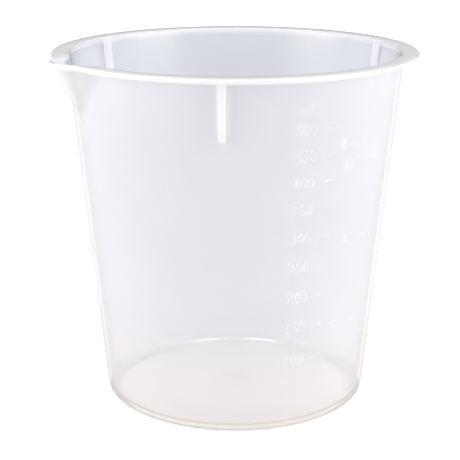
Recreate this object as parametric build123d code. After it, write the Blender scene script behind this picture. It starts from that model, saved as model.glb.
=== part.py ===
"""Resin mixing cup: a tapered, translucent measuring cup with a flat rim, a pulled
pouring spout, outside stacking ribs and raised measuring lines.

Millimetres, +Z up. The origin is on the cup's axis, in the plane that the cup stands on.
The spout points along -X and the measuring lines face -Y.

The real cup is one moulding. Its features are separate solids here, each named for what
it does, and they meet face to face on the surfaces that they share.
"""
import math
import os

from build123d import *

# Cup body. Both radii are those of the wall's outside, as one straight cone.
cup_height = 105.0
mouth_radius = 49.5
base_radius = 38.8
wall = 1.2

# Floor. It rises a little towards the middle, so that the cup stands on a narrow foot.
floor_thickness = 1.4
floor_rise = 1.0
corner_radius = 4.3
foot_width = 2.0

# Rim. The inner edge is well rounded, the two outer edges only broken.
rim_width = 4.2
rim_thickness = 1.5
mouth_round = 0.8
rim_edge_break = 0.4

# Spout. It bulges from the round wall in the shape of a bell, seen from above. Its keel
# runs from the wall up to the lip, which stands out past the rim. A nose power below 1
# makes the lip more pointed, and a waist power above 0 narrows the bulge downwards.
spout_overhang = 8.0
spout_depth = 18.0
spout_half_width = 16.8
keel_bend = 1.8
nose_power = 0.88
waist_power = 0.6
spout_sections = 10
spout_points = 10
crowding_power = 1.6
seam_margin = 1.6
angle_step = 0.001

# Stacking ribs, under the rim. The cup above rests on its ribs' lower ends. They end
# short of the rim's edge, and a little shorter still at their lower end.
rib_count = 3
rib_length = 16.0
rib_setback = 0.7
rib_draw = 0.5
rib_width_top = 2.7
rib_width_foot = 2.1
rib_round = 0.6

# Measuring lines, raised on the outside. The top millilitre line marks 500 ml, some way
# below the rim, and the lines below it are equal steps of volume. The second scale is in fluid ounces, at 5, 10
# and 15, and its lines stand at these shares of the volume below the top line.
line_relief = 0.3
line_thickness = 0.6
ml_top_drop = 15.3
ml_steps = 10
ml_first_step = 2
ml_line_length = 3.2
ml_line_angle = 277.5
floz_line_shares = (0.284, 0.568, 0.852)
floz_line_length = 3.8
floz_line_angle = 299.0

# Gate, where the plastic entered the mould: a low boss inside the cup, and a pip below.
gate_boss_radius = 5.2
gate_boss_height = 0.4
gate_pip_radius = 1.1
gate_pip_height = 0.5

# Cuts run past the faces that they go through by this much.
overrun = 1.0

taper = (mouth_radius - base_radius) / cup_height
slope = math.atan(taper)
inner_corner_radius = corner_radius - wall
foot_outer = base_radius + taper * corner_radius - corner_radius / math.cos(slope)
foot_inner = foot_outer - foot_width
seam_height = max(corner_radius, floor_thickness + inner_corner_radius)
rim_radius = mouth_radius + rim_width
spout_root = cup_height - spout_depth
edge_angle = spout_half_width / mouth_radius
seam_angle = (spout_half_width + seam_margin) / mouth_radius
rib_depth_top = rim_width - rib_setback
rib_depth_foot = rib_depth_top - rib_draw
ml_top_line = cup_height - ml_top_drop


def outer_radius(height):
    """Outside of the wall at a height above the table."""
    return base_radius + taper * height


def inner_radius(height):
    """Inside of the wall at a height above the table."""
    return outer_radius(height) - wall


def nearest_vertex(face, across, up):
    """The corner of a flat outline that lies nearest to a point."""
    return face.vertices().sort_by_distance((across, up, 0))[0]


def turned(outline):
    """An outline of radius and height, turned about the cup's axis."""
    return revolve(Plane.XZ * outline, axis=Axis.Z)


def body_outline():
    """Half section of floor and wall, with its corners rounded."""
    floor_edge = inner_radius(floor_thickness)
    mouth_inner = mouth_radius - wall
    under = TangentArc((0, floor_rise), (foot_inner, 0), tangent=(1, 0))
    foot = Line((foot_inner, 0), (base_radius, 0))
    outside = Line((base_radius, 0), (mouth_radius, cup_height))
    top = Line((mouth_radius, cup_height), (mouth_inner, cup_height))
    inside = Line((mouth_inner, cup_height), (floor_edge, floor_thickness))
    ledge = Line((floor_edge, floor_thickness), (foot_inner, floor_thickness))
    over = TangentArc((0, floor_rise + floor_thickness), (foot_inner, floor_thickness), tangent=(1, 0))
    middle = Line((0, floor_rise + floor_thickness), (0, floor_rise))
    face = make_face([under, foot, outside, top, inside, ledge, over, middle])
    face = fillet(nearest_vertex(face, base_radius, 0), corner_radius)
    face = fillet(nearest_vertex(face, floor_edge, floor_thickness), inner_corner_radius)
    return fillet(nearest_vertex(face, mouth_inner, cup_height), mouth_round)


def keel_share(height):
    """How much of its reach the keel has at a height, from 0 at its root to 1 at the rim."""
    bend = keel_bend / spout_depth
    climb = max(0, height - spout_root) / spout_depth
    return (math.hypot(climb, bend) - bend) / (math.hypot(1, bend) - bend)


def spout_skin(angle, height):
    """Distance from the axis to the spout's outside, at an angle from the keel."""
    growth = keel_share(height)
    bulge = spout_overhang * growth
    half_angle = edge_angle * growth ** waist_power
    share = min(1, abs(angle) / max(half_angle, angle_step)) ** nose_power
    return outer_radius(height) + bulge * math.cos(math.pi / 2 * share) ** 2


def spout_point(angle, height, inset):
    """Point on the spout's outside, or set inwards from it at right angles."""
    out = spout_skin(angle, height)
    growth = spout_skin(angle + angle_step, height) - spout_skin(angle - angle_step, height)
    lean = math.atan2(growth / (2 * angle_step), out)
    across = out * math.cos(angle) - inset * math.cos(angle - lean)
    along = out * math.sin(angle) - inset * math.sin(angle - lean)
    return (-across, along, height)


def round_point(angle, height, inset):
    """Point on the round wall, or set inwards from it, at an angle from the keel."""
    radius = outer_radius(height) - inset
    return (-radius * math.cos(angle), radius * math.sin(angle), height)


def round_arc(start, end, height, inset):
    """Stretch of the round wall between two angles from the keel."""
    angles = (start, (start + end) / 2, end)
    return ThreePointArc(*[round_point(angle, height, inset) for angle in angles])


def spout_section(height, inset):
    """Flat sector at a height: the spout's skin, with some round wall on each side."""
    side_angle = seam_angle + overrun / mouth_radius
    skin = [round_point(-edge_angle, height, inset)]
    for step in range(1 - spout_points, spout_points):
        share = abs(step / spout_points) ** crowding_power
        skin.append(spout_point(math.copysign(share, step) * edge_angle, height, inset))
    skin.append(round_point(edge_angle, height, inset))
    ways = [(math.sin(angle), math.cos(angle), 0) for angle in (-edge_angle, edge_angle)]
    left = round_arc(-side_angle, -edge_angle, height, inset)
    right = round_arc(edge_angle, side_angle, height, inset)
    axis_point = (0, 0, height)
    sides = [Line(axis_point, left @ 0), Line(right @ 1, axis_point)]
    return make_face([sides[0], left, Spline(skin, tangents=ways), right, sides[1]])


def spout_body(inset):
    """Solid sector inside the spout's skin, or inside its inner face.

    It is a little wider and taller than the spout, which is cut out of it.
    """
    sections = []
    length = spout_depth + 2 * overrun
    for step in range(spout_sections + 1):
        height = spout_root - overrun + length * step / spout_sections
        sections.append(spout_section(height, inset))
    return loft(sections)


def spout_window(above_rim):
    """Wedge that the spout fills in the round wall, carried on above the rim."""
    reach = 2 * mouth_radius
    across = reach * math.cos(seam_angle)
    along = reach * math.sin(seam_angle)
    wedge = make_face(Polyline((0, 0), (-across, along), (-across, -along), close=True))
    return Pos(0, 0, spout_root) * extrude(wedge, spout_depth + above_rim)


def make_spout():
    """Channel with a wall of even thickness, and the mouth's rounding along its inner edge."""
    channel = (spout_body(0) - spout_body(wall)) & spout_window(0)
    middle = (wall - mouth_radius - spout_overhang, 0, cup_height)
    inner_edge = channel.edges().sort_by_distance(middle)[0]
    return fillet(inner_edge, mouth_round)


def make_rim():
    """Flat flange round the mouth, open where the spout passes through."""
    under = cup_height - rim_thickness
    inside = mouth_radius - wall
    corners = [(inside, under), (rim_radius, under), (rim_radius, cup_height), (inside, cup_height)]
    face = make_face(Polyline(*corners, close=True))
    for height in (under, cup_height):
        face = chamfer(nearest_vertex(face, rim_radius, height), rim_edge_break)
    ring = turned(face)
    round_part = ring - spout_window(overrun) - outside_cone()
    spout_part = (ring & spout_window(overrun)) - spout_body(0)
    return round_part + spout_part


def outside_cone():
    """Everything inside the wall's outside, from table to rim."""
    corners = [(0, 0), (base_radius, 0), (mouth_radius, cup_height), (0, cup_height)]
    return turned(make_face(Polyline(*corners, close=True)))


def make_rib(angle):
    """Stacking rib under the rim, narrower towards its rounded lower end."""
    top = cup_height - rim_thickness
    foot = top - rib_length
    slices = []
    for height, depth, width in ((foot, rib_depth_foot, rib_width_foot), (top, rib_depth_top, rib_width_top)):
        length = wall + depth
        middle = inner_radius(height) + length / 2
        slices.append(Plane.XY.offset(height) * Pos(middle, 0) * Rectangle(length, width))
    rib = loft(slices)
    upright = rib.edges().filter_by(lambda edge: edge.bounding_box().size.Z > rib_length / 2)
    outer = upright.sort_by(Axis.X)[-2:]
    lower = rib.faces().sort_by(Axis.Z)[0].edges().sort_by(Axis.X)[-1:]
    rib = fillet(outer + lower, rib_round)
    return Rot(0, 0, angle) * (rib - outside_cone())


def height_of_volume(share):
    """Height whose level holds a share of the volume below the top millilitre line.

    The inside is taken as a plain cone above its floor, whose volume grows with the cube
    of the radius.
    """
    low = inner_radius(floor_thickness) ** 3
    high = inner_radius(ml_top_line) ** 3
    radius = (low + share * (high - low)) ** (1 / 3)
    return (radius + wall - base_radius) / taper


def raised_line(height, length, angle):
    """Short raised line that follows the wall, centred on an angle."""
    low = height - line_thickness / 2
    high = height + line_thickness / 2
    corners = [
        (outer_radius(low), low),
        (outer_radius(low) + line_relief, low),
        (outer_radius(high) + line_relief, high),
        (outer_radius(high), high),
    ]
    outline = Plane.XZ * make_face(Polyline(*corners, close=True))
    turn = math.degrees(length / outer_radius(height))
    bar = revolve(outline, axis=Axis.Z, revolution_arc=turn)
    return Rot(0, 0, angle - turn / 2) * bar


def make_ml_lines():
    """One line for each step of the millilitre scale."""
    shares = [step / ml_steps for step in range(ml_first_step, ml_steps + 1)]
    lines = [raised_line(height_of_volume(share), ml_line_length, ml_line_angle) for share in shares]
    return Compound(children=lines)


def make_floz_lines():
    """One longer line for each marked step of the fluid ounce scale."""
    heights = [height_of_volume(share) for share in floz_line_shares]
    lines = [raised_line(height, floz_line_length, floz_line_angle) for height in heights]
    return Compound(children=lines)


def make_gate_boss(cup):
    """Low round boss on the middle of the floor, inside, with a pip on it."""
    start = floor_rise + floor_thickness / 2
    boss_top = floor_rise + floor_thickness + gate_boss_height
    corners = [
        (0, start),
        (gate_boss_radius, start),
        (gate_boss_radius, boss_top - gate_boss_height / 2),
        (gate_boss_radius - gate_boss_height, boss_top),
        (gate_pip_radius, boss_top),
        (gate_pip_radius / 2, boss_top + gate_pip_height / 2),
        (0, boss_top + gate_pip_height / 2),
    ]
    return turned(make_face(Polyline(*corners, close=True))) - cup


def make_gate_vestige(cup):
    """Trimmed end of the sprue, under the raised middle of the floor."""
    start = floor_rise + floor_thickness / 2
    end = floor_rise - gate_pip_height
    corners = [
        (0, start),
        (gate_pip_radius, start),
        (gate_pip_radius, floor_rise),
        (gate_pip_radius / 2, end),
        (0, end),
    ]
    return turned(make_face(Polyline(*corners, close=True))) - cup


cup = turned(body_outline())
seam = Plane.XY.offset(seam_height)
parts = {
    "cup_floor": split(cup, bisect_by=seam, keep=Keep.BOTTOM),
    "cup_wall": split(cup, bisect_by=seam, keep=Keep.TOP) - spout_window(overrun),
    "pour_spout": make_spout(),
    "rim_flange": make_rim(),
    "ml_scale_lines": make_ml_lines(),
    "floz_scale_lines": make_floz_lines(),
    "gate_boss": make_gate_boss(cup),
    "gate_vestige": make_gate_vestige(cup),
}
for number in range(rib_count):
    parts[f"stacking_rib_{number + 1}"] = make_rib(number * 360 / rib_count)

os.makedirs("parts", exist_ok=True)
for name, solid in parts.items():
    export_step(solid, f"parts/{name}.step")
    print(name, len(solid.solids()), "solids", round(solid.volume, 2), "mm3", solid.is_valid)
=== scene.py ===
# %% [markdown]
# # A milky mixing cup
#
# This cup is one moulding of natural polypropylene: a cone with a flat rim, a pulled spout,
# three stacking ribs and a raised scale. The plastic holds no colour, only a haze, so that
# most of its look comes from how much shows through it.
#
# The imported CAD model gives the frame. It holds the real sizes, and the pieces made here are
# fitted to it. Everything is in metres, with the origin on the cup's axis, on the table.

# %% Load the frame
import math

import bmesh
import bpy
from mathutils import Matrix, Vector


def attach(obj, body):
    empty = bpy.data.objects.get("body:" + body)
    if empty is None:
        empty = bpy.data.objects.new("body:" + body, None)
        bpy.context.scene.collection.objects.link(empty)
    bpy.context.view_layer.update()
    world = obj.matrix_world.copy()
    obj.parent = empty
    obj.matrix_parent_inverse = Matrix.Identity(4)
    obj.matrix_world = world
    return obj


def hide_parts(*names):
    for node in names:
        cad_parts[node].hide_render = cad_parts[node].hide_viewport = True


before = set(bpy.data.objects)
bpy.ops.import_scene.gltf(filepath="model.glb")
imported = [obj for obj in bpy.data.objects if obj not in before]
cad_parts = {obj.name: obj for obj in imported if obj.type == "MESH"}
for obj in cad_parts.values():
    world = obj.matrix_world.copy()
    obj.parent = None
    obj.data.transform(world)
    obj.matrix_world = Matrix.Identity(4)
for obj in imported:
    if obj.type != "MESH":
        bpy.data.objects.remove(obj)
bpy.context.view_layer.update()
scene = bpy.context.scene
mm = 0.001
print("CAD nodes:", ", ".join(sorted(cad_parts)))

# %% [markdown]
# ## The cup's sizes
#
# The same sizes as in the CAD source, in millimetres times `mm`. A cup like this draws out
# of its mould because its wall leans outwards, so that most other sizes follow from the
# radius of the cone at a height.

# %% Sizes of the cup
cup_height = 105.0 * mm
mouth_radius = 49.5 * mm
base_radius = 38.8 * mm
wall = 1.2 * mm
floor_thickness = 1.4 * mm
floor_rise = 1.0 * mm
corner_radius = 4.3 * mm
inner_corner_radius = corner_radius - wall
rim_radius = 53.7 * mm
rim_thickness = 1.5 * mm
mouth_round = 0.8 * mm
edge_break = 0.4 * mm
rim_under = cup_height - rim_thickness

taper = (mouth_radius - base_radius) / cup_height
slope = math.atan(taper)
foot_width = 2.0 * mm
foot_inner = base_radius + taper * corner_radius - corner_radius / math.cos(slope) - foot_width


def outer_radius(height):
    """Outside of the wall at a height above the table."""
    return base_radius + taper * height


print("the wall leans by", round(math.degrees(slope), 1), "degrees")

# %% [markdown]
# ## The spout's shape
#
# The spout bulges from the wall like a bell, seen from above. `keel_share` says how far the
# keel has come out at a height, and `spout_skin` gives the distance from the axis at an
# angle from the keel. `spout_point` sets a point inwards at right angles to that skin, which
# keeps the plastic equally thick all over the bulge.

# %% Shape of the spout
spout_overhang = 8.0 * mm
spout_depth = 18.0 * mm
keel_bend = 1.8 * mm
spout_root = cup_height - spout_depth
edge_angle = 16.8 * mm / mouth_radius
nose_power = 0.88
waist_power = 0.6
angle_step = 0.001


def keel_share(height):
    """How much of its reach the keel has at a height, from 0 at its root to 1 at the rim."""
    bend = keel_bend / spout_depth
    climb = max(0, height - spout_root) / spout_depth
    return (math.hypot(climb, bend) - bend) / (math.hypot(1, bend) - bend)


def spout_skin(angle, height):
    """Distance from the axis to the spout's outside, at an angle from the keel."""
    growth = keel_share(height)
    half_angle = edge_angle * growth ** waist_power
    share = min(1, abs(angle) / max(half_angle, angle_step)) ** nose_power
    return outer_radius(height) + spout_overhang * growth * math.cos(math.pi / 2 * share) ** 2


def spout_point(angle, height, inset):
    """Point on the spout's outside, or set inwards from it at right angles."""
    out = spout_skin(angle, height)
    growth = spout_skin(angle + angle_step, height) - spout_skin(angle - angle_step, height)
    lean = math.atan2(growth / (2 * angle_step), out)
    across = out * math.cos(angle) - inset * math.cos(angle - lean)
    along = out * math.sin(angle) - inset * math.sin(angle - lean)
    return Vector((-across, along, height))


print("the lip stands out to", round(spout_skin(0, cup_height) / mm, 1), "mm")

# %% [markdown]
# ## Helpers for outlines
#
# A turned shape starts as an outline, a chain of edges in the XZ plane. `chain` draws one
# from its corners, and `round_corner` bevels a corner as a vertex. The bevel's offset is the
# distance from the corner to where the round begins, which follows from its radius and from
# the angle between the two edges.

# %% Outline helpers
def chain(bm, corners):
    """Vertices at (radius, height) corners, joined in order. Returns the vertices."""
    vertices = [bm.verts.new((radius, 0, height)) for radius, height in corners]
    for first, second in zip(vertices, vertices[1:]):
        bm.edges.new((first, second))
    return vertices


def round_corner(bm, vertex, radius, segments):
    """Rounds a corner of an outline to a radius, in a number of steps."""
    ways = [edge.other_vert(vertex).co - vertex.co for edge in vertex.link_edges]
    offset = radius / math.tan(ways[0].angle(ways[1]) / 2)
    bmesh.ops.bevel(
        bm, geom=[vertex], offset=offset, segments=segments, profile=0.5,
        affect="VERTICES", material=-1,
    )


merge_gap = 0.002 * mm
sharp_edge = math.radians(32)


def close_up(bm):
    """Merges doubled vertices, such as those of a seam or pole, and turns faces outwards."""
    bmesh.ops.remove_doubles(bm, verts=bm.verts, dist=merge_gap)
    bmesh.ops.recalc_face_normals(bm, faces=bm.faces)


def finish_piece(name, bm):
    """Makes an object of a bmesh, smooth but for its sharp edges."""
    for face in bm.faces:
        face.smooth = True
    mesh = bpy.data.meshes.new(name)
    bm.to_mesh(mesh)
    bm.free()
    mesh.set_sharp_from_angle(angle=sharp_edge)
    piece = bpy.data.objects.new(name, mesh)
    scene.collection.objects.link(piece)
    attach(piece, "root")
    print(name, len(mesh.polygons), "faces")
    return piece


print("edges sharper than", round(math.degrees(sharp_edge)), "degrees stay crisp")

# %% [markdown]
# ## The moulded shell
#
# Floor, wall, rim and spout are one skin of plastic on the real cup. If they were separate
# see-through pieces, their hidden seams would show as lines, so here they are one piece. Its
# outline runs from the middle of the underside, round the foot, up the outside, over the rim
# and down the inside to the middle of the floor.
#
# The floor is slightly domed. Both arcs of the dome come from one vertex each, spun about the
# dome's centre.

# %% Outline of the shell
shell = bmesh.new()
dome_radius = (foot_inner ** 2 + floor_rise ** 2) / (2 * floor_rise)
dome_angle = math.asin(foot_inner / dome_radius)
dome_steps = 14


def dome_arc(height):
    """Arc from the axis at a height, down to the foot. Returns its last vertex."""
    start = shell.verts.new((0, 0, height))
    made = bmesh.ops.spin(
        shell, geom=[start], cent=(0, 0, height - dome_radius), axis=(0, 1, 0),
        angle=dome_angle, steps=dome_steps, use_merge=False,
    )
    return made["geom_last"][0]


under_edge = dome_arc(floor_rise)
floor_edge = dome_arc(floor_rise + floor_thickness)
mouth_inner = mouth_radius - wall
floor_corner = outer_radius(floor_thickness) - wall
foot, under_rim, rim_low, rim_top, mouth, inside_corner = chain(shell, [
    (base_radius, 0),
    (outer_radius(rim_under), rim_under),
    (rim_radius, rim_under),
    (rim_radius, cup_height),
    (mouth_inner, cup_height),
    (floor_corner, floor_thickness),
])
shell.edges.new((under_edge, foot))
shell.edges.new((inside_corner, floor_edge))
print("outline of", len(shell.verts), "vertices")

# %% [markdown]
# Each corner is rounded as the mould maker would. The rings between the spout's root and the
# rim come from cutting both wall lines with planes, so that the wall can bend there.

# %% Round the corners and cut the rings
spout_rings = 22
wall_rings = 10
cut_tolerance = 1e-7
round_corner(shell, foot, corner_radius, 10)
round_corner(shell, inside_corner, inner_corner_radius, 8)
round_corner(shell, mouth, mouth_round, 6)
round_corner(shell, rim_top, edge_break, 4)
round_corner(shell, rim_low, edge_break, 3)
round_corner(shell, under_rim, edge_break, 3)
ring_heights = [spout_root * step / wall_rings for step in range(1, wall_rings)]
ring_heights += [spout_root + (rim_under - edge_break - spout_root) * step / spout_rings
                 for step in range(spout_rings)]
for height in ring_heights:
    bmesh.ops.bisect_plane(
        shell, geom=shell.verts[:] + shell.edges[:], dist=cut_tolerance,
        plane_co=(0, 0, height), plane_no=(0, 0, 1),
    )
print("outline of", len(shell.verts), "vertices")

# %% [markdown]
# The outline is spun in two goes, with fine steps where the spout will be and wider ones for
# the rest of the circle. The spout's sector lies about the negative X axis, a little wider
# than the spout. The two ends meet, and `close_up` merges them.

# %% Spin the shell
spout_sector = 2.1 * edge_angle
fine_steps = 100
wide_steps = 300
bmesh.ops.rotate(
    shell, verts=shell.verts, cent=(0, 0, 0),
    matrix=Matrix.Rotation(math.pi - spout_sector / 2, 3, "Z"),
)
sector = bmesh.ops.spin(
    shell, geom=shell.verts[:] + shell.edges[:], cent=(0, 0, 0), axis=(0, 0, 1),
    angle=spout_sector, steps=fine_steps, use_merge=False,
)
bmesh.ops.spin(
    shell, geom=sector["geom_last"], cent=(0, 0, 0), axis=(0, 0, 1),
    angle=2 * math.pi - spout_sector, steps=wide_steps, use_merge=False,
)
close_up(shell)
print("shell of", len(shell.faces), "faces,", "open edges:",
      sum(not edge.is_manifold for edge in shell.edges))

# %% [markdown]
# ## Pulling the spout
#
# The round wall is now moved onto the spout's formula, as a spout is pulled on a potter's
# cup. A vertex in the wall keeps its depth below the skin. A vertex of the rim stays on its
# circle until the skin has come out further than that, so that the rim fades into the lip.
# Before it moves, each vertex notes its depth in the wall, from 0 outside to 1 inside, as an
# attribute that the material reads later.

# %% Pull the spout
fillet_room = 1.0 * mm


def pulled(spot):
    """Place of a vertex once the spout has been pulled."""
    angle = math.atan2(spot.y, -spot.x)
    radius = math.hypot(spot.x, spot.y)
    stand = radius - outer_radius(spot.z)
    if stand <= 0:
        return spout_point(angle, spot.z, -stand)
    skin = spout_skin(angle, spot.z)
    if stand < 2 * edge_break:
        room = min(1, max(0, (rim_radius - skin) / fillet_room))
        reach = skin + stand * room
    elif spot.z > rim_under + rim_thickness / 2:
        reach = max(radius, skin - (rim_radius - radius))
    else:
        reach = max(radius, skin)
    return Vector((-reach * math.cos(angle), reach * math.sin(angle), spot.z))


skin_depth = shell.verts.layers.float.new("skin_depth")
for vertex in shell.verts:
    vertex[skin_depth] = (outer_radius(vertex.co.z) - vertex.co.xy.length) / wall
    angle = math.atan2(vertex.co.y, -vertex.co.x)
    if vertex.co.z > spout_root and abs(angle) < edge_angle:
        vertex.co = pulled(vertex.co)
close_up(shell)
print("open edges:", sum(not edge.is_manifold for edge in shell.edges))
cup_shell = finish_piece("moulded_shell", shell)
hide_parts("cup_floor", "cup_wall", "rim_flange", "pour_spout")

# %% [markdown]
# ## Stacking ribs
#
# Three ribs under the rim carry the next cup when cups are nested, so that the cones never
# jam. Each is a block whose lower end is a little smaller, as the mould's draught asks, with
# its free edges rounded by a bevel. It is sunk into the wall and the rim, because two faces
# in the same place would flicker.

# %% Ribs
rib_length = 16.0 * mm
rib_depths = {"foot": 3.0 * mm, "top": 3.5 * mm}
rib_widths = {"foot": 2.1 * mm, "top": 2.7 * mm}
rib_round = 0.6 * mm
rib_turn = math.radians(120)
sunk = 0.35 * mm


def make_rib(number):
    """Rib at a third of a turn from the one before it."""
    bm = bmesh.new()
    bmesh.ops.create_cube(bm, size=1)
    for vertex in bm.verts:
        end = "top" if vertex.co.z > 0 else "foot"
        height = rim_under + sunk if end == "top" else rim_under - rib_length
        stand = rib_depths[end] if vertex.co.x > 0 else -sunk
        across = math.copysign(rib_widths[end] / 2, vertex.co.y)
        vertex.co = (outer_radius(height) + stand, across, height)
    wall_side = [face for face in bm.faces if face.normal.x < -0.5]
    rim_side = [face for face in bm.faces if face.normal.z > 0.5]
    hidden = set(wall_side + rim_side)
    free = [edge for edge in bm.edges if not hidden & set(edge.link_faces)]
    bmesh.ops.bevel(
        bm, geom=free, offset=rib_round, segments=5, profile=0.5,
        affect="EDGES", material=-1,
    )
    turn = Matrix.Rotation((number - 1) * rib_turn, 3, "Z")
    bmesh.ops.rotate(bm, verts=bm.verts, cent=(0, 0, 0), matrix=turn)
    close_up(bm)
    rib = finish_piece(f"moulded_rib_{number}", bm)
    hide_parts(f"stacking_rib_{number}")
    return rib


ribs = [make_rib(number) for number in (1, 2, 3)]

# %% [markdown]
# ## Scale lines
#
# The scale is raised on the outside by a third of a millimetre. The lines of the millilitre
# scale are equal steps of volume, and the cup widens upwards, so that they crowd together
# towards the rim. `level_height` turns a share of the volume into a height: the inside is
# taken as a plain cone, whose volume grows with the cube of its radius.

# %% Heights of the scale
top_line = cup_height - 15.3 * mm
relief = 0.3 * mm
line_thickness = 0.6 * mm
full_measure = 500
millilitres_per_ounce = 28.4


def level_height(share):
    """Height whose level holds a share of the volume below the top line."""
    low = (outer_radius(floor_thickness) - wall) ** 3
    high = (outer_radius(top_line) - wall) ** 3
    radius = (low + share * (high - low)) ** (1 / 3)
    return (radius + wall - base_radius) / taper


ml_levels = {mark: level_height(mark / full_measure) for mark in range(100, 501, 50)}
floz_levels = {mark: level_height(mark * millilitres_per_ounce / full_measure)
               for mark in (5, 10, 15)}
print("millilitres at mm:", {mark: round(height / mm, 1) for mark, height in ml_levels.items()})

# %% [markdown]
# A line is a small flat face on the wall, spun about the cup's axis through the line's length
# so that it hugs the cone. A fine bevel takes the edge off.

# %% Scale lines
line_steps = 8
line_round = 0.08 * mm
crisp_angle = 1.0
ml_line_length, ml_angle = 3.2 * mm, 277.5
floz_line_length, floz_angle = 3.8 * mm, 299.0


def add_line(bm, height, length, angle):
    """Raised line at a height, centred on an angle in degrees."""
    low, high = height - line_thickness / 2, height + line_thickness / 2
    corners = [(outer_radius(low) - sunk, low), (outer_radius(low) + relief, low),
               (outer_radius(high) + relief, high), (outer_radius(high) - sunk, high)]
    vertices = [bm.verts.new((radius, 0, up)) for radius, up in corners]
    section = bm.faces.new(vertices)
    turn = length / outer_radius(height)
    start = Matrix.Rotation(math.radians(angle) - turn / 2, 3, "Z")
    bmesh.ops.rotate(bm, verts=vertices, cent=(0, 0, 0), matrix=start)
    bmesh.ops.spin(
        bm, geom=[section, *section.edges, *vertices], cent=(0, 0, 0), axis=(0, 0, 1),
        angle=turn, steps=line_steps, use_merge=False,
    )


def make_lines(name, heights, length, angle, node):
    """All lines of one scale, as one piece."""
    bm = bmesh.new()
    for height in heights:
        add_line(bm, height, length, angle)
    close_up(bm)
    crisp = [edge for edge in bm.edges
             if edge.is_manifold and edge.calc_face_angle() > crisp_angle]
    bmesh.ops.bevel(
        bm, geom=crisp, offset=line_round, segments=2, profile=0.5,
        affect="EDGES", material=-1,
    )
    lines = finish_piece(name, bm)
    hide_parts(node)
    return lines


ml_lines = make_lines(
    "ml_lines", ml_levels.values(), ml_line_length, ml_angle, "ml_scale_lines")
floz_lines = make_lines(
    "floz_lines", floz_levels.values(), floz_line_length, floz_angle, "floz_scale_lines")

# %% [markdown]
# ## Numbers
#
# The numbers are raised like the lines. Blender's text object draws them flat, with a
# thickness and a fine bevel. It becomes a mesh first, and then each vertex is laid on the
# cone: its way along the text becomes an angle, its way up a height, and its thickness a
# distance from the wall.

# %% Numbers
letter_size = 4.4 * mm
letter_bevel = 0.05 * mm
unit_gap = 1.35 * letter_size
ml_label_angle, floz_label_angle = 267.5, 286.0


def add_label(bm, words, angle, height):
    """Adds raised words to a bmesh, wrapped on the wall and centred on a place."""
    curve = bpy.data.curves.new("label", "FONT")
    curve.body = words
    curve.size = letter_size
    curve.align_x = "CENTER"
    curve.align_y = "CENTER"
    curve.extrude = (relief + sunk) / 2
    curve.bevel_depth = letter_bevel
    curve.bevel_resolution = 1
    curve.resolution_u = 6
    label = bpy.data.objects.new("label", curve)
    scene.collection.objects.link(label)
    flat = bpy.data.meshes.new_from_object(
        label.evaluated_get(bpy.context.evaluated_depsgraph_get()))
    bpy.data.objects.remove(label)
    for vertex in flat.vertices:
        along, up, out = vertex.co
        level = height + up * math.cos(slope)
        radius = outer_radius(level) + out + (relief - sunk) / 2
        turn = math.radians(angle) + along / outer_radius(height)
        vertex.co = (radius * math.cos(turn), radius * math.sin(turn), level)
    bm.from_mesh(flat)
    bpy.data.meshes.remove(flat)


def make_labels(name, levels, angle, unit):
    """All numbers of one scale, with the unit above the highest."""
    bm = bmesh.new()
    for mark, height in levels.items():
        add_label(bm, str(mark), angle, height)
    add_label(bm, unit, angle, max(levels.values()) + unit_gap)
    close_up(bm)
    return finish_piece(name, bm)


ml_numbers = make_labels("ml_numbers", ml_levels, ml_label_angle, "ml")
floz_numbers = make_labels("floz_numbers", floz_levels, floz_label_angle, "fl oz")

# %% [markdown]
# ## The gate
#
# Molten plastic enters the mould through a gate, here at the middle of the floor. Inside it
# leaves a low round boss, and underneath the trimmed end of the sprue, kept clear of the
# table by the dome. Both are outlines spun through a full turn.

# %% Gate
boss_radius = 5.2 * mm
pip_radius = 1.1 * mm
pip_tip_radius = 0.6 * pip_radius
nub_tip_radius = 0.5 * pip_radius
full_turn_steps = 96
boss_under = floor_rise + floor_thickness - sunk
boss_top = floor_rise + floor_thickness + 0.4 * mm
pip_top = boss_top + 0.25 * mm
nub_top = floor_rise + sunk
nub_tip = floor_rise - 0.5 * mm


def make_turned(name, corners, rounds, node):
    """Full spin of an outline, with some of its corners rounded."""
    bm = bmesh.new()
    vertices = chain(bm, corners)
    for number, radius in rounds.items():
        round_corner(bm, vertices[number], radius, 4)
    bmesh.ops.spin(
        bm, geom=bm.verts[:] + bm.edges[:], cent=(0, 0, 0), axis=(0, 0, 1),
        angle=2 * math.pi, steps=full_turn_steps, use_merge=True,
    )
    close_up(bm)
    piece = finish_piece(name, bm)
    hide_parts(node)
    return piece


boss = make_turned("gate_disc", [
    (0, boss_under), (boss_radius, boss_under - 0.02 * mm), (boss_radius, boss_top),
    (pip_radius, boss_top), (pip_tip_radius, pip_top), (0, pip_top),
], {2: 0.3 * mm, 3: 0.1 * mm, 4: 0.1 * mm}, "gate_boss")
nub = make_turned("gate_nub", [
    (0, nub_top), (pip_radius, nub_top), (pip_radius, floor_rise),
    (nub_tip_radius, nub_tip), (0, nub_tip),
], {2: 0.05 * mm, 3: 0.15 * mm}, "gate_vestige")

# %% [markdown]
# ## Writing shader maths
#
# A material is a net of nodes, and its sums are easier to read as sums. `Socket` wraps the
# output of a node. Adding, taking away, multiplying or dividing it makes the Math node that
# does so. Every other node comes from `Net.node`, which takes its type, its settings and the
# values or links of its sockets. The sky is a net of nodes too, and uses the same class.

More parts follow.
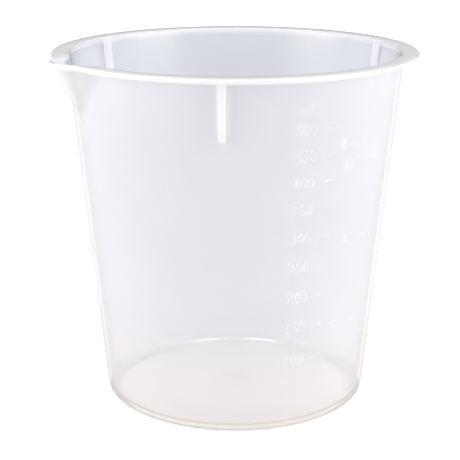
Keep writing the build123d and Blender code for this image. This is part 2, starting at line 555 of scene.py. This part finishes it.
# %% Shader maths
class Socket:
    """Output of a node that can be used in sums."""

    def __init__(self, net, output):
        self.net = net
        self.output = output

    def maths(self, operation, first, second=0.0):
        settings = {"operation": operation}
        return self.net.node("ShaderNodeMath", settings, {0: first, 1: second})

    def __add__(self, other):
        return self.maths("ADD", self, other)

    def __sub__(self, other):
        return self.maths("SUBTRACT", self, other)

    def __rsub__(self, other):
        return self.maths("SUBTRACT", other, self)

    def __mul__(self, other):
        return self.maths("MULTIPLY", self, other)

    def __truediv__(self, other):
        return self.maths("DIVIDE", self, other)

    __radd__ = __add__
    __rmul__ = __mul__

    def root(self):
        return self.maths("SQRT", self)

    def power(self, exponent):
        return self.maths("POWER", self, exponent)


class Net:
    """Net of nodes in a material or in the sky."""

    def __init__(self, tree):
        self.tree = tree

    def node(self, kind, settings, sockets, output=0):
        """New node. Sockets go by name or number, and take a value or a link."""
        node = self.tree.nodes.new(kind)
        for name, value in settings.items():
            setattr(node, name, value)
        for key, value in sockets.items():
            self.feed(node.inputs[key], value)
        return Socket(self, node.outputs[output])

    def feed(self, target, value):
        """Links a socket, or sets it to a value."""
        if isinstance(value, Socket):
            self.tree.links.new(value.output, target)
        else:
            target.default_value = value


# %% [markdown]
# `Finish` is the net of a material. It adds what the finishes of this scene have in common:
# the place on a piece, smooth masks, noise, blends of colours or shaders, and bumps.

# %% Finish
class Finish(Net):
    """A material under construction, with its Principled shader."""

    def __init__(self, name, **constants):
        self.material = bpy.data.materials.new(name)
        self.material.use_nodes = True
        super().__init__(self.material.node_tree)
        self.shader = self.tree.nodes["Principled BSDF"]
        self.set(**constants)

    def set(self, **sockets):
        """Feeds the Principled shader's own sockets."""
        for name, value in sockets.items():
            self.feed(self.shader.inputs[name.replace("_", " ")], value)

    def show(self, shader):
        """Makes a shader the look of the material."""
        self.feed(self.tree.nodes["Material Output"].inputs["Surface"], shader)

    def place(self):
        """Place on the piece, in metres."""
        return self.node("ShaderNodeTexCoord", {}, {}, "Object")

    def parts(self, spot):
        """The x, y and z of a place."""
        first = self.node("ShaderNodeSeparateXYZ", {}, {0: spot})
        return [Socket(self, output) for output in first.output.node.outputs]

    def step(self, value, start, end):
        """Smooth mask that goes from 0 at start to 1 at end."""
        settings = {"interpolation_type": "SMOOTHSTEP"}
        sockets = {"Value": value, "From Min": start, "From Max": end}
        return self.node("ShaderNodeMapRange", settings, sockets)

    def noise(self, spot, scale, detail, stretch=(1, 1, 1)):
        """Noise of about -1 to 1. Scale is in spots per metre."""
        placed = self.node("ShaderNodeMapping", {}, {"Vector": spot, "Scale": stretch})
        sockets = {"Vector": placed, "Scale": scale, "Detail": detail, "Roughness": 0.5}
        return 2 * self.node("ShaderNodeTexNoise", {}, sockets) - 1

    def as_mask(self, noise):
        """Noise of -1 to 1 as a mask of 0 to 1."""
        return 0.5 + 0.5 * noise

    def blend(self, mask, colour, other):
        """First colour where the mask is 0, the other one where it is 1."""
        settings = {"data_type": "RGBA", "clamp_factor": True}
        return self.node("ShaderNodeMix", settings, {0: mask, 6: colour, 7: other}, 2)

    def tint(self, colour, veil):
        """A colour seen through a veil of another."""
        settings = {"data_type": "RGBA", "blend_type": "MULTIPLY"}
        return self.node("ShaderNodeMix", settings, {0: 1.0, 6: colour, 7: veil}, 2)

    def mix(self, share, shader, other):
        """First shader where the share is 0, the other one where it is 1."""
        return self.node("ShaderNodeMixShader", {}, {0: share, 1: shader, 2: other})

    def bump(self, height, distance, strength=0.5):
        """Normal from a height of -1 to 1, at a distance in metres."""
        sockets = {"Height": height, "Distance": distance, "Strength": strength}
        return self.node("ShaderNodeBump", {}, sockets, "Normal")


# %% [markdown]
# ## Natural polypropylene
#
# Natural polypropylene scatters light inside. A thin wall lets part of the light through and
# looks slightly blue, because haze scatters blue most, while thick places such as the rim and
# the floor look white to cream. True scattering is slow and noisy in so thin a wall. Here each
# skin of the wall is a pale satin surface of its own opacity instead, and the layers add up:
# two skins to a wall, two walls to look through, more at a rib.
#
# Three shaders make the haze. The Principled shader is the satin surface, a Translucent shader
# passes on the light from the far side, and a Transparent shader shows what lies behind. Gloss
# is laid over them, by the share that a plastic mirrors: little where it is seen straight on,
# and more at a grazing angle.

# %% Haze and gloss of the plastic
passing_share = 0.45
plastic_ior = 1.49
least_mirror = ((plastic_ior - 1) / (plastic_ior + 1)) ** 2
grazing_power = 5
gloss_roughness = 0.20
gloss_tint = (0.62, 0.60, 0.58, 1)
satin_roughness, roughness_swing = 0.5, 0.1


def satin(name):
    """Finish with what all places of the cup share."""
    return Finish(name, IOR=plastic_ior, Specular_IOR_Level=0.0)


def glow_of(finish, colour):
    """Shader that passes on the light from the far side."""
    return finish.node("ShaderNodeBsdfTranslucent", {}, {"Color": colour})


def hazy(finish, glow, opacity):
    """Satin surface with the light from behind and the view of what lies behind."""
    surface = Socket(finish, finish.shader.outputs["BSDF"])
    clear = finish.node("ShaderNodeBsdfTransparent", {}, {})
    return finish.mix(opacity, clear, finish.mix(passing_share, surface, glow))


def glossy(finish, shader, normal, shine=1):
    """Lays gloss over a shader."""
    gloss = finish.node("ShaderNodeBsdfAnisotropic", {}, {
        "Color": gloss_tint, "Roughness": gloss_roughness, "Normal": normal})
    facing = finish.node("ShaderNodeLayerWeight", {}, {"Blend": 0.5, "Normal": normal}, "Facing")
    mirror = least_mirror + (1 - least_mirror) * facing.power(grazing_power)
    return finish.mix(shine * mirror, shader, gloss)


print("seen straight on, the plastic mirrors", round(100 * least_mirror, 1), "% of the light")

# %% [markdown]
# ## Where the shell changes
#
# Masks tell the places of the shell apart. The attribute `skin_depth`, stored before the spout
# was pulled, is 0 on the outer skin and 1 on the inner one, so it follows the bulge. The rest
# comes from the place on the cup: its radius, its height, and its angle round the axis. The
# cosine of three times that angle is 1 at each of the three ribs. Each band below says where
# a mask begins and where it ends, so that it fades and shows no hard line.

# %% Masks of the shell
skin_band = (0.4, 0.6)
corner_band = (base_radius - 4.8 * mm, base_radius - 2.8 * mm)
floor_band = (2.6 * mm, 4.4 * mm)
glint_band = (base_radius - 4.2 * mm, base_radius - 3.2 * mm)
glint_top_band = (3.6 * mm, 4.8 * mm)
rim_band = (cup_height - 2.2 * mm, cup_height - 0.9 * mm)
flat_inner_band = (mouth_radius, mouth_radius + 0.8 * mm)
flat_outer_band = (rim_radius - 1.0 * mm, rim_radius - 0.3 * mm)
bulge_band = (base_radius, base_radius + 1.5 * mm)
low_band = (0, 40 * mm)
rib_core, rib_fade = 1.5 * mm, 2.5 * mm
rib_band = (math.cos(3 * rib_fade / mouth_radius), math.cos(3 * rib_core / mouth_radius))
rib_foot = rim_under - rib_length
rib_foot_band = (rib_foot, rib_foot + 1 * mm)


def shell_masks(finish, x, y, height):
    """Masks from 0 to 1 for the places of the shell, by name."""
    radius = (x * x + y * y).root()
    depth = finish.node("ShaderNodeAttribute", {"attribute_name": "skin_depth"}, {}, "Fac")
    inside = finish.step(depth, *skin_band)
    outer_corner = (1 - inside) * finish.step(radius, *corner_band)
    floor = (1 - finish.step(height, *floor_band)) * (1 - outer_corner)
    glint = finish.step(radius, *glint_band)
    glint = glint * inside * (1 - finish.step(height, *glint_top_band))
    rim = finish.step(height, *rim_band)
    flat = finish.step(radius, *flat_inner_band)
    flat = flat * (1 - finish.step(radius, *flat_outer_band))
    spout = finish.step(radius - taper * height, *bulge_band)
    low = 1 - finish.step(height, *low_band)
    cosine = x / radius
    triple = cosine * (4 * cosine * cosine - 3)
    # The rib mask marks the inner skin behind a rib, which is painted light: the lit rib seen
    # through the wall.
    rib = finish.step(triple, *rib_band)
    rib = rib * inside * finish.step(height, *rib_foot_band)
    return {"inside": inside, "floor": floor, "glint": glint, "rim": rim, "flat": flat,
            "spout": spout, "low": low, "rib": rib}


print("behind a rib the wall is lit over", round(2 * rib_core / mm, 1), "mm")

# %% [markdown]
# The inner skin is painted a dark bluish grey, painted shade for the shaded inside of the cup
# over the slight blue of the haze. The lower part of the wall is painted cream, painted warm
# light from the floor, and the spout a darker cream, partly painted shade and partly painted
# warm light. The floor is cream, and the rim is nearly white. A faint cloud in the haze keeps
# large areas from looking painted.

# %% Colour and opacity of the shell
outer_white = (0.96, 0.93, 0.92, 1)
# Painted shade: the inner skin is a dark bluish grey, for the shaded inside of the cup.
inner_shade_blue = (0.24, 0.28, 0.38, 1)
# Painted warm light: towards the floor the wall turns cream, lighter on the inner skin and
# slightly darker on the outer one.
low_painted_light = (0.82, 0.77, 0.71, 1)
# Painted tone: the spout turns a darker cream, painted shade on its outer skin and painted warm
# light on its inner one.
spout_painted_tone = (0.68, 0.64, 0.59, 1)
floor_cream = (1.0, 0.96, 0.92, 1)
rim_flat = (0.84, 0.83, 0.85, 1)
rim_edge = (0.84, 0.83, 0.84, 1)
# Painted light: the inner skin behind each rib is nearly white, so that the lit rib shows
# through the wall.
rib_painted_light = (0.97, 0.95, 0.94, 1)
cloud_grey = (0.97, 0.97, 0.98, 1)
plain_white = (1, 1, 1, 1)
low_share = 0.45
spout_share = 0.75
opacities = {"outer": 0.48, "inner": 0.47, "floor": 0.86, "rib": 0.75, "rim": 0.80}
cloud_opacity = 0.02


def shell_colour(finish, masks, cloud):
    """Colour of the satin surface."""
    # Painted shade inside, painted warm light low down, painted shade and warm light on the
    # spout, painted light behind the ribs.
    colour = finish.blend(masks["inside"], outer_white, inner_shade_blue)
    colour = finish.blend(low_share * masks["low"], colour, low_painted_light)
    colour = finish.blend(spout_share * masks["spout"], colour, spout_painted_tone)
    colour = finish.blend(masks["floor"], colour, floor_cream)
    rim_colour = finish.blend(masks["flat"], rim_edge, rim_flat)
    colour = finish.blend(masks["rim"], colour, rim_colour)
    colour = finish.blend(masks["rib"], colour, rib_painted_light)
    return finish.tint(colour, finish.blend(finish.as_mask(cloud), cloud_grey, plain_white))


def shell_opacity(masks, cloud):
    """Share of the light that a skin stops or scatters."""
    opacity = opacities["outer"] + (opacities["inner"] - opacities["outer"]) * masks["inside"]
    for place in ("floor", "rib", "rim"):
        opacity = opacity + (opacities[place] - opacity) * masks[place]
    return opacity + cloud_opacity * cloud


print("two clear skins let through",
      round(100 * (1 - opacities["outer"]) * (1 - opacities["inner"])), "% of the view")

# %% [markdown]
# Light that has come through the plastic has a tint too. It is warm in the floor, and slightly
# so near it and in the spout, where the warmth is painted warm light. On the inner skin it is a
# darker blue-grey, painted shade of the inside. A Translucent shader keeps one plain colour, so
# the tint changes by mixing three of them.
#
# The mould leaves a fine grain, and drawing the cup off its core leaves streaks along the wall,
# which a bump gives. Where the inner wall turns into the floor, the real cup's thick corner
# gathers the light from above into glints. A shell of thin skins can't do that, so extra gloss
# stands in for it.

# %% Finish of the shell
outer_glow = (0.97, 0.95, 0.96, 1)
inner_shade_glow = (0.48, 0.52, 0.61, 1)
warm_glow = (1.0, 0.96, 0.92, 1)
warm_low = 0.27
warm_spout = 0.2
cloud_scale, grain_scale, streak_scale = 28, 1800, 420
streak_stretch = (1, 1, 0.06)
streak_depth = 0.012 * mm
grain_share = 0.5
extra_glint = 8


def shell_finish():
    """Finish of the moulded shell."""
    finish = satin("polypropylene_wall")
    spot = finish.place()
    masks = shell_masks(finish, *finish.parts(spot))
    cloud = finish.noise(spot, cloud_scale, detail=3)
    grain = finish.noise(spot, grain_scale, detail=1)
    streaks = finish.noise(spot, streak_scale, detail=2, stretch=streak_stretch)
    normal = finish.bump(grain_share * grain + streaks, streak_depth)
    roughness = satin_roughness + roughness_swing * cloud
    finish.set(Base_Color=shell_colour(finish, masks, cloud), Roughness=roughness, Normal=normal)
    in_floor = masks["floor"]
    # Painted warm light: near the floor and in the spout, the light passed on is warmer.
    warmth = in_floor + (warm_low * masks["low"] + warm_spout * masks["spout"]) * (1 - in_floor)
    # Painted shade: the inner skin passes on a darker, bluer light than the outer one.
    glow = finish.mix(masks["inside"], glow_of(finish, outer_glow), glow_of(finish, inner_shade_glow))
    glow = finish.mix(warmth, glow, glow_of(finish, warm_glow))
    haze = hazy(finish, glow, shell_opacity(masks, cloud))
    finish.show(glossy(finish, haze, normal, 1 + extra_glint * masks["glint"]))
    return finish.material


cup_shell.data.materials.append(shell_finish())
print("the shell's material has", len(cup_shell.data.materials[0].node_tree.nodes), "nodes")

# %% [markdown]
# Ribs, numbers and the gate are small lumps of the same plastic. The ribs are white and let
# little through. The lines and numbers are so thin that they show only by a trace of haze, and
# they have no gloss of their own, because it would outline every stroke twice.

# %% Finish of the raised places
lump_cloud_scale = 90
lump_grain_depth = 0.008 * mm
lump_cloud_opacity = 0.03
lump_shade = 0.96


def lump_finish(name, colour, opacity, gloss=True):
    """Finish of a raised place of one colour."""
    finish = satin(name)
    spot = finish.place()
    cloud = finish.noise(spot, lump_cloud_scale, detail=3)
    normal = finish.bump(finish.noise(spot, grain_scale, detail=1), lump_grain_depth)
    shaded = [lump_shade * part for part in colour[:3]] + [1]
    tone = finish.blend(finish.as_mask(cloud), shaded, colour)
    roughness = satin_roughness + roughness_swing * cloud
    finish.set(Base_Color=tone, Roughness=roughness, Normal=normal)
    haze = hazy(finish, glow_of(finish, colour), opacity + lump_cloud_opacity * cloud)
    finish.show(glossy(finish, haze, normal) if gloss else haze)
    return finish.material


rib_look = lump_finish("polypropylene_rib", (0.86, 0.85, 0.85, 1), 0.65)
mark_look = lump_finish("polypropylene_marks", (1.0, 1.0, 1.0, 1), 0.11, gloss=False)
gate_look = lump_finish("polypropylene_gate", (1.0, 0.98, 0.95, 1), 0.30)
marks = [ml_lines, floz_lines, ml_numbers, floz_numbers]
for pieces, look in ((ribs, rib_look), (marks, mark_look), ([boss, nub], gate_look)):
    for piece in pieces:
        piece.data.materials.append(look)
    print(look.name, "on", len(pieces), "pieces")

# %% [markdown]
# ## Table
#
# The cup stands on a plain, nearly white table, as in a catalogue photograph. A cup that one
# looks through is only as bright as what lies behind it, so the table glows a little by itself,
# as a photographer's light table does. It lies a hair below the foot, which keeps the two
# surfaces from flickering. It is slightly darker near the cup than at its far edge, where
# painted light keeps the far table from looking dark.

# %% Table
table_radius = 6.0
table_drop = 0.05 * mm
table_glow = 0.42
near_tones = (0.75, 0.77)
# Painted light: the table grows lighter towards its far edge.
far_painted_light = 0.84
far_band = (0.4, 1.0)
mottle_scale = 3


def grey(level):
    """Grey of a level from 0 to 1."""
    return (level, level, level, 1)


table_mesh = bmesh.new()
bmesh.ops.create_circle(table_mesh, cap_ends=True, segments=128, radius=table_radius)
bmesh.ops.translate(table_mesh, verts=table_mesh.verts, vec=(0, 0, -table_drop))
mesh = bpy.data.meshes.new("table")
table_mesh.to_mesh(mesh)
table_mesh.free()
table = bpy.data.objects.new("table", mesh)
scene.collection.objects.link(table)
paper = Finish("white_table", Roughness=0.9, Specular_IOR_Level=0.1,
               Emission_Color=plain_white, Emission_Strength=table_glow)
spot = paper.place()
x, y = paper.parts(spot)[:2]
mottle = paper.as_mask(paper.noise(spot, mottle_scale, detail=4))
near = paper.blend(mottle, grey(near_tones[0]), grey(near_tones[1]))
far = paper.step((x * x + y * y).root(), *far_band)
paper.set(Base_Color=paper.blend(far, near, grey(far_painted_light)))
table.data.materials.append(paper.material)
print("table of", 2 * table_radius, "m across")

# %% [markdown]
# ## Light
#
# A soft sky gives the base. It is dark at the horizon and bright overhead, so that the cup's
# edges stand out from the white. Light passes many skins of see-through plastic on its way,
# which is why it may cross more of them than Blender allows at first.

# %% Sky
sky_strength = (0.12, 0.88)
sky_colour = (0.99, 0.99, 1.0, 1)
scene.view_settings.view_transform = "Standard"
scene.cycles.transparent_max_bounces = 24
sky = bpy.data.worlds.new("studio")
scene.world = sky
sky.use_nodes = True
sky_net = Net(sky.node_tree)
way = sky_net.node("ShaderNodeTexCoord", {}, {}, "Generated")
upward = sky_net.node("ShaderNodeSeparateXYZ", {}, {0: way}, "Z")
brightness = sky_net.node("ShaderNodeMapRange", {}, {
    "Value": upward, "To Min": sky_strength[0], "To Max": sky_strength[1]})
background = sky.node_tree.nodes["Background"]
sky_net.feed(background.inputs["Strength"], brightness)
sky_net.feed(background.inputs["Color"], sky_colour)
print("sky from", sky_strength[0], "at the horizon to", sky_strength[1], "overhead")

# %% [markdown]
# Two soft boxes stand in front, well to the left and right, and make the wall grow lighter
# towards its sides. Two weaker ones beside the cup and a faint one behind it light the rim and
# the far wall. Two small ones hang high above, and glint in the corner of the floor. The camera
# doesn't see the boxes themselves. Their places are given from where the camera stands.

# %% Soft boxes
towards_camera = Vector((-0.438, -0.899, 0))
rightwards = Vector((-towards_camera.y, towards_camera.x, 0))
box_distance = 1.0


def round_cup(azimuth, elevation):
    """Place round the cup, by degrees to the right of the camera and above the table."""
    turn, rise = math.radians(azimuth), math.radians(elevation)
    level = towards_camera * math.cos(turn) + rightwards * math.sin(turn)
    return box_distance * (level * math.cos(rise) + Vector((0, 0, math.sin(rise))))


def soft_box(name, azimuth, elevation, size, power):
    """Square light round the cup, turned to the cup's middle."""
    light = bpy.data.lights.new(name, "AREA")
    light.shape = "SQUARE"
    light.size = size
    light.energy = power
    lamp = bpy.data.objects.new(name, light)
    lamp.location = round_cup(azimuth, elevation)
    lamp.visible_camera = False
    aim = Vector((0, 0, cup_height / 2)) - lamp.location
    lamp.rotation_euler = aim.to_track_quat("-Z", "Y").to_euler()
    scene.collection.objects.link(lamp)
    print(name, "of", power, "W at", [round(part, 2) for part in lamp.location])


soft_box("left_front", -62, 20, 0.6, 6.4)
soft_box("right_front", 62, 20, 0.6, 6.7)
soft_box("left_side", -90, 20, 0.6, 1.6)
soft_box("right_side", 90, 20, 0.6, 2.0)
soft_box("background", 180, 20, 0.6, 0.25)
soft_box("overhead_left", -58, 72, 0.3, 1.9)
soft_box("overhead_right", 58, 72, 0.3, 1.9)

# %% [markdown]
# ## Camera
#
# The camera stands where the photograph was taken from: 43 cm from the cup's axis and looking
# down by about 15 degrees, with the spout to the left. Its place came from fitting the ellipses
# of the rim and the foot.

# %% Camera
camera_pitch = 0.267
camera_yaw = 0.0032
camera_data = bpy.data.cameras.new("camera")
camera_data.sensor_width = 36
camera_data.lens = 114.75
camera = bpy.data.objects.new("camera", camera_data)
scene.collection.objects.link(camera)
scene.camera = camera
camera.location = (-0.1879, -0.3853, 0.1674)
heading = math.atan2(-towards_camera.y, -towards_camera.x) + camera_yaw
aim = Vector((math.cos(heading) * math.cos(camera_pitch),
              math.sin(heading) * math.cos(camera_pitch),
              -math.sin(camera_pitch)))
camera.rotation_euler = aim.to_track_quat("-Z", "Y").to_euler()
print("camera at", [round(part, 3) for part in camera.location])
